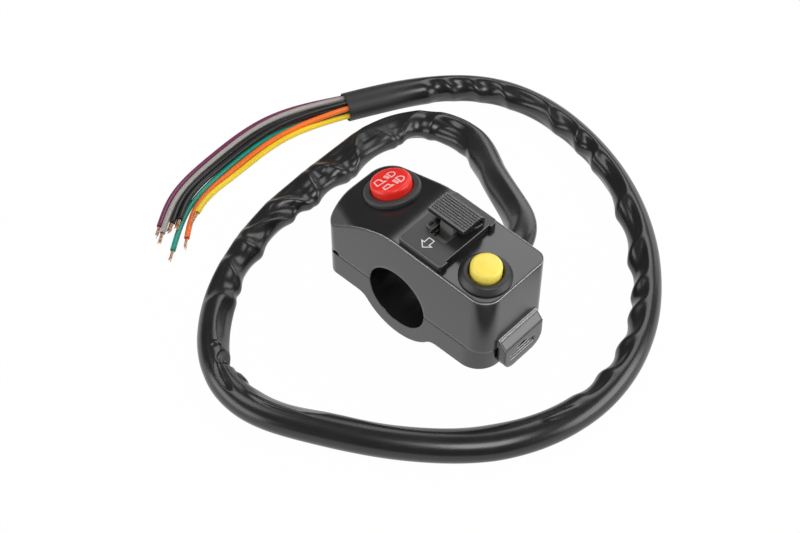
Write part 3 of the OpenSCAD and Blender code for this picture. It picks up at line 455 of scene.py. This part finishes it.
def painted_edge_highlight():
    """Node group for a painted highlight on upward edges, found where a rounded normal leaves the
    face's own.
    """
    group = bpy.data.node_groups.new("painted_edge_highlight", "ShaderNodeTree")
    face = group.interface
    face.new_socket("Corner Normal", in_out="INPUT", socket_type="NodeSocketVector")
    face.new_socket("Amount", in_out="INPUT", socket_type="NodeSocketFloat").default_value = 0.5
    face.new_socket("Mask", in_out="OUTPUT", socket_type="NodeSocketFloat")
    put, get = group.nodes.new("NodeGroupOutput"), group.nodes.new("NodeGroupInput")
    own = add(group, "ShaderNodeNewGeometry")
    turn = add(group, "ShaderNodeVectorMath", operation="DOT_PRODUCT")
    level = add(group, "ShaderNodeMapRange", clamp=True)
    level.inputs["From Min"].default_value = PAINTED_HIGHLIGHT_NONE
    level.inputs["From Max"].default_value = PAINTED_HIGHLIGHT_FULL
    share = add(group, "ShaderNodeMath", operation="MULTIPLY")
    parts = add(group, "ShaderNodeSeparateXYZ")
    upward = add(group, "ShaderNodeMapRange", clamp=True)
    upward.inputs["From Min"].default_value = UPWARD_NONE
    upward.inputs["From Max"].default_value = UPWARD_FULL
    both = add(group, "ShaderNodeMath", operation="MULTIPLY")
    link = group.links.new
    link(get.outputs["Corner Normal"], parts.inputs["Vector"])
    link(parts.outputs["Z"], upward.inputs["Value"])
    link(get.outputs["Corner Normal"], turn.inputs[0])
    link(own.outputs["True Normal"], turn.inputs[1])
    link(turn.outputs["Value"], level.inputs["Value"])
    link(level.outputs["Result"], both.inputs[0])
    link(upward.outputs["Result"], both.inputs[1])
    link(both.outputs["Value"], share.inputs[0])
    link(get.outputs["Amount"], share.inputs[1])
    link(share.outputs["Value"], put.inputs["Mask"])
    return group


SKIN = moulded_skin()
EDGE_HIGHLIGHT_GROUP = painted_edge_highlight()


def plastic(name, dark, light, roughness, grain=1400.0, bump=0.03, smudge=0.08, edge=0.0,
            gloss=0.5, painted_highlight=0.0):
    """Moulded plastic of two near shades, with edges rounded by a radius and a pale highlight
    painted on upward edges.
    """
    mat = bpy.data.materials.new(name)
    mat.use_nodes = True
    tree = mat.node_tree
    shader = tree.nodes["Principled BSDF"]
    shader.inputs["Specular IOR Level"].default_value = gloss
    skin = add(tree, "ShaderNodeGroup", node_tree=SKIN)
    skin.inputs["Grain Scale"].default_value = grain
    skin.inputs["Roughness"].default_value = roughness
    skin.inputs["Smudge"].default_value = smudge
    shade = add(tree, "ShaderNodeMix", data_type="RGBA")
    shade.inputs["A"].default_value = (*dark, 1)
    shade.inputs["B"].default_value = (*light, 1)
    lift = add(tree, "ShaderNodeBump", Strength=bump, Distance=GRAIN_HEIGHT)
    link = tree.links.new
    if edge:
        corner = add(tree, "ShaderNodeBevel", samples=BEVEL_SAMPLES, Radius=edge * MM)
        link(corner.outputs["Normal"], lift.inputs["Normal"])
    link(skin.outputs["Shade"], shade.inputs["Factor"])
    # Painted highlight: rounded upward edges are mixed towards a pale colour
    if painted_highlight:
        rim = add(tree, "ShaderNodeBevel", samples=BEVEL_SAMPLES, Radius=HIGHLIGHT_REACH * MM)
        highlight_mask = add(tree, "ShaderNodeGroup", node_tree=EDGE_HIGHLIGHT_GROUP)
        highlight_mask.inputs["Amount"].default_value = painted_highlight
        highlighted = add(tree, "ShaderNodeMix", data_type="RGBA")
        highlighted.inputs["B"].default_value = PAINTED_HIGHLIGHT_SHADE
        link(rim.outputs["Normal"], highlight_mask.inputs["Corner Normal"])
        link(highlight_mask.outputs["Mask"], highlighted.inputs["Factor"])
        link(shade.outputs["Result"], highlighted.inputs["A"])
        shade = highlighted
    link(shade.outputs["Result"], shader.inputs["Base Color"])
    link(skin.outputs["Roughness"], shader.inputs["Roughness"])
    link(skin.outputs["Height"], lift.inputs["Height"])
    link(lift.outputs["Normal"], shader.inputs["Normal"])
    return mat


def matt_end(mat, centre, near, far, more):
    """Makes a material rougher near a place in millimetres, fading between two distances."""
    tree = mat.node_tree
    rough = tree.nodes["Principled BSDF"].inputs["Roughness"]
    source = rough.links[0].from_socket
    place = add(tree, "ShaderNodeTexCoord")
    gap = add(tree, "ShaderNodeVectorMath", operation="DISTANCE")
    gap.inputs[1].default_value = tuple(c * MM for c in centre)
    fade = add(tree, "ShaderNodeMapRange", clamp=True)
    for name, value in (("From Min", near * MM), ("From Max", far * MM), ("To Min", more),
                        ("To Max", 0.0)):
        fade.inputs[name].default_value = value
    total = add(tree, "ShaderNodeMath", operation="ADD")
    tree.links.new(place.outputs["Object"], gap.inputs[0])
    tree.links.new(gap.outputs["Value"], fade.inputs["Value"])
    tree.links.new(fade.outputs["Result"], total.inputs[0])
    tree.links.new(source, total.inputs[1])
    tree.links.new(total.outputs["Value"], rough)


def metal(name, dark, light, roughness, grain=900.0):
    """Plated, drawn or stamped metal with a fine grain."""
    mat = plastic(name, dark, light, roughness, grain, bump=0.05, smudge=0.12)
    mat.node_tree.nodes["Principled BSDF"].inputs["Metallic"].default_value = 1.0
    return mat


def dress(material, *names):
    """Gives CAD nodes or pieces one material."""
    for name in names:
        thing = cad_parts[name] if isinstance(name, str) else name
        thing.data.materials.clear()
        thing.data.materials.append(material)


def stroke_mesh(name, lines, width, place):
    """Flat drawn marks: each line of points becomes a ribbon laid on a surface."""
    mesh = bpy.data.meshes.new(name)
    verts, faces = [], []
    for line in lines:
        p = np.array(line, float)
        closed = np.allclose(p[0], p[-1])
        n = len(p)
        rows = []
        for i in range(n):
            before = p[i] - p[i - 1] if i else (p[0] - p[-2] if closed else p[1] - p[0])
            after = p[i + 1] - p[i] if i < n - 1 else (p[1] - p[0] if closed else before)
            before, after = before / np.linalg.norm(before), after / np.linalg.norm(after)
            mid = before + after
            mid /= np.linalg.norm(mid)
            cross = np.array([-mid[1], mid[0]]) * (width / 2) / max(0.4, float(mid @ after))
            rows.append((len(verts), len(verts) + 1))
            verts += [place(*(p[i] + cross)), place(*(p[i] - cross))]
        faces += [(a[0], a[1], b[1], b[0]) for a, b in zip(rows, rows[1:])]
    mesh.from_pydata([tuple(c * MM for c in v) for v in verts], [], faces)
    piece = bpy.data.objects.new(name, mesh)
    bpy.context.collection.objects.link(piece)
    return piece


def on_facet(x, y, z):
    """Point given in the headlamp button's own directions."""
    fx, fy = LAMP_AT
    fz = DECK_H + KNEE_X * math.tan(DECK_TILT) + (fx + KNEE_X) * math.tan(FACET_TILT)
    return (fx + x * math.cos(FACET_TILT) - z * math.sin(FACET_TILT), fy + y,
            fz + x * math.sin(FACET_TILT) + z * math.cos(FACET_TILT))


def on_deck(x, y, z, at=(SLIDE_X, 0)):
    """Point given from a place on the deck, in the deck's own directions."""
    dz = DECK_H - at[0] * math.tan(DECK_TILT)
    return (at[0] + x * math.cos(DECK_TILT) + z * math.sin(DECK_TILT), at[1] + y,
            dz - x * math.sin(DECK_TILT) + z * math.cos(DECK_TILT))


def push_spring(button, place, radius, top):
    """Return spring from the floor of a cup to the underside of a cap."""
    low = CUP_LOW + SPRING_WIRE_R + SPRING_GAP
    high = top - CAP_TOP_T - SPRING_WIRE_R - SPRING_GAP
    a = np.linspace(0, 2 * SPRING_TURNS * math.pi, SPRING_STEPS + 1)
    out = np.stack([np.cos(a), np.sin(a), 0 * a], axis=1)
    middle = radius * out + np.stack([0 * a, 0 * a, low + (high - low) * a / a[-1]], axis=1)
    around = np.linspace(0, 2 * math.pi, SPRING_SIDES, endpoint=False)
    rings = middle[:, None, :] + SPRING_WIRE_R * circle(out, np.array([[0, 0, 1.0]]), around)
    rings = np.array([[place(*p) for p in ring] for ring in rings])
    spring = skin_mesh(button + "_return_spring", rings)
    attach(spring, "housing")
    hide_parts(button + "_spring")
    foot = np.array(place(0, 0, low - SPRING_WIRE_R))
    tip = np.array(place(0, 0, high + SPRING_WIRE_R))
    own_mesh(spring)
    return spring


def lamp_marks():
    """Two rows of signs printed on the red cap: a hood, beam lines and a lamp."""
    def place(x, y):
        return on_facet(x, y, LAMP_TOP - CAP_FALL * math.hypot(x, y) + PRINT_LIFT)

    lines = list(HOODS)
    for top in LAMP_ROWS:
        lines.append([(top + x, y) for x, y in LAMP_SIGN])
        lines += [[(top + x, y) for y in BEAM_ENDS] for x in BEAM_ACROSS]
    marks = stroke_mesh("lamp_marks", lines, LAMP_LINE, place)
    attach(marks, "headlamp_cap")
    return marks


def arrow_mark():
    """Hollow arrow printed on the slide plate, pointing along the bar."""
    def place(x, y):
        return on_deck(x, y + PLATE_Y, PLATE_T + PRINT_LIFT)

    half = [(0, ARROW_TIP), (HEAD_HALF, ARROW_NECK), (SHAFT_HALF, ARROW_NECK),
            (SHAFT_HALF, ARROW_TAIL)]
    outline = [(ARROW_X + x, y) for x, y in half] + [(ARROW_X - x, y) for x, y in half[::-1]]
    marks = stroke_mesh("arrow_mark", [outline], ARROW_LINE, place)
    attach(marks, "housing")
    return marks


def studio():
    """Pale floor, soft boxes round the part and above it, and an even pale surround."""
    scene = bpy.context.scene
    scene.view_settings.view_transform = "Standard"
    floor_mesh = bpy.data.meshes.new("floor")
    h, z = FLOOR_HALF, TABLE_Z * MM - FLOOR_DROP
    floor_mesh.from_pydata([(-h, -h, z), (h, -h, z), (h, h, z), (-h, h, z)], [], [(0, 1, 2, 3)])
    floor = bpy.data.objects.new("floor", floor_mesh)
    bpy.context.collection.objects.link(floor)
    mat = bpy.data.materials.new("floor_white")
    mat.use_nodes = True
    tree = mat.node_tree
    tree.nodes.clear()
    out = add(tree, "ShaderNodeOutputMaterial")
    matte = add(tree, "ShaderNodeBsdfDiffuse", Color=(0.8, 0.8, 0.8, 1))
    glow = add(tree, "ShaderNodeEmission", Color=(1, 1, 1, 1), Strength=1.0)
    path = add(tree, "ShaderNodeLightPath")
    seen = add(tree, "ShaderNodeMath", operation="MAXIMUM")
    either = add(tree, "ShaderNodeMath", operation="MAXIMUM")
    share = add(tree, "ShaderNodeMath", operation="MULTIPLY")
    share.inputs[1].default_value = FLOOR_GLOW
    mix = add(tree, "ShaderNodeMixShader")
    link = tree.links.new
    link(path.outputs["Is Camera Ray"], seen.inputs[0])
    link(path.outputs["Is Glossy Ray"], seen.inputs[1])
    link(seen.outputs["Value"], either.inputs[0])
    link(path.outputs["Is Transmission Ray"], either.inputs[1])
    link(either.outputs["Value"], share.inputs[0])
    link(share.outputs["Value"], mix.inputs["Fac"])
    link(matte.outputs["BSDF"], mix.inputs[1])
    link(glow.outputs["Emission"], mix.inputs[2])
    link(mix.outputs["Shader"], out.inputs["Surface"])
    floor_mesh.materials.append(mat)

    world = bpy.data.worlds.new("studio")
    scene.world = world
    world.use_nodes = True
    back = world.node_tree.nodes["Background"]
    back.inputs["Color"].default_value = (1, 1, 1, 1)
    back.inputs["Strength"].default_value = SURROUND_LEVEL

    for name, toward, far, size, radiance in SOFT_BOXES:
        way = Vector(toward).normalized()
        lamp = bpy.data.lights.new(name, "AREA")
        lamp.shape = "RECTANGLE"
        lamp.size, lamp.size_y = size
        lamp.energy = radiance * math.pi * size[0] * size[1]
        box = bpy.data.objects.new(name, lamp)
        box.location = way * far
        box.rotation_mode = "QUATERNION"
        box.rotation_quaternion = (-way).to_track_quat("-Z", "Y")
        bpy.context.collection.objects.link(box)


photo_camera()
sleeve = make_sleeve()
wires = make_wires()
marks = lamp_marks()
arrow = arrow_mark()
springs = [push_spring("headlamp", on_facet, HEADLAMP_SPRING_R, LAMP_TOP),
           push_spring("horn", lambda x, y, z: on_deck(x, y, z, HORN_AT), HORN_SPRING_R,
                       HORN_TOP)]

# Housing, plate and knob get a pale highlight painted along their upward edges
dress(plastic("housing_black", (0.009, 0.009, 0.0093), (0.013, 0.013, 0.0133), 0.18,
              grain=1500, bump=0.012, smudge=0.06, edge=1.2, gloss=0.8, painted_highlight=1), "upper_housing")
dress(plastic("clamp_black", (0.011, 0.011, 0.0113), (0.015, 0.015, 0.0153), 0.2,
              grain=1500, bump=0.012, smudge=0.06, edge=0.5, gloss=0.8), "lower_clamp")
dress(plastic("plate_black", (0.012, 0.012, 0.0123), (0.018, 0.018, 0.0183), 0.34,
              grain=1800, bump=0.04, edge=0.4, gloss=0.7, painted_highlight=0.3), "slide_plate")
dress(plastic("knob_black", (0.012, 0.012, 0.0123), (0.016, 0.016, 0.0163), 0.22,
              grain=1800, bump=0.02, smudge=0.06, edge=0.25, gloss=0.9, painted_highlight=0.25), "slide_knob")
dress(plastic("lamp_rim_black", (0.034, 0.034, 0.0345), (0.044, 0.044, 0.0445), 0.5,
              grain=1800, bump=0.08, edge=0.4, gloss=0.6), "headlamp_bezel")
dress(plastic("horn_rim_black", (0.018, 0.018, 0.0183), (0.024, 0.024, 0.0243), 0.42,
              grain=1800, bump=0.06, edge=0.4, gloss=0.6), "horn_bezel")
dress(plastic("red_cap", (0.88, 0.018, 0.012), (0.92, 0.028, 0.018), 0.3,
              grain=1500, smudge=0.06, edge=0.8), "headlamp_button")
dress(plastic("yellow_cap", (0.97, 0.76, 0.1), (1, 0.81, 0.13), 0.3,
              grain=1500, smudge=0.06, edge=0.8), "horn_button")
dress(plastic("carriage_grey", (0.1, 0.1, 0.097), (0.26, 0.26, 0.25), 0.36,
              grain=700, bump=0.1, smudge=0.1, edge=0.4), "slide_carriage")
dress(plastic("laminate_brown", (0.24, 0.12, 0.05), (0.33, 0.17, 0.07), 0.6,
              grain=500, bump=0.1), "headlamp_base", "slide_board", "horn_base")
dress(plastic("grommet_rubber", (0.012, 0.012, 0.012), (0.02, 0.02, 0.02), 0.55,
              grain=1200, bump=0.08), "grommet")
dress(plastic("tie_nylon", (0.66, 0.64, 0.56), (0.74, 0.72, 0.65), 0.45,
              grain=1000, bump=0.04), "cable_tie")
dress(metal("zinc_plate", (0.55, 0.55, 0.52), (0.68, 0.68, 0.66), 0.32),
      "clamp_screws", "headlamp_screws", "slide_screws", "horn_screws", "detent_ball")
dress(metal("spring_wire", (0.42, 0.42, 0.42), (0.55, 0.55, 0.55), 0.3),
      "headlamp_spring", "horn_spring", "detent_spring", *springs)
dress(metal("stamped_brass", (0.66, 0.46, 0.16), (0.78, 0.58, 0.25), 0.32),
      "headlamp_contact", "headlamp_terminals", "slide_contact", "slide_terminals",
      "horn_contact", "horn_terminals")

vinyl_black = plastic("sleeve_vinyl", (0.009, 0.009, 0.0093), (0.013, 0.013, 0.0133), 0.23,
                      grain=900, bump=0.01, smudge=0.06, gloss=0.65)
matt_end(vinyl_black, SLEEVE_ROUTE[-1], near=12, far=28, more=0.25)
dress(vinyl_black, sleeve)
vinyl = {
    "crimson": (0.3, 0.012, 0.04), "purple": (0.2, 0.03, 0.1), "grey": (0.42, 0.39, 0.36),
    "brown": (0.16, 0.04, 0.02), "black": (0.014, 0.013, 0.013), "teal": (0.005, 0.34, 0.25),
    "orange": (1, 0.19, 0.02), "yellow": (1, 0.72, 0.02),
}
copper = metal("bare_copper", (0.6, 0.33, 0.2), (0.78, 0.5, 0.36), 0.3, grain=2500)
coats = {tone: plastic(tone + "_vinyl", tuple(0.85 * c for c in rgb), rgb, 0.3,
                       grain=1200, bump=0.01, smudge=0.06)
         for tone, rgb in vinyl.items()}
for colour, (wire, strands) in wires.items():
    dress(coats[colour.split("_")[0]], wire)
    dress(copper, strands)
dress(plastic("print_pale_pink", (0.95, 0.62, 0.6), (1, 0.7, 0.68), 0.5), marks)
dress(plastic("print_white", (0.75, 0.75, 0.75), (0.82, 0.82, 0.82), 0.5), arrow)

studio()
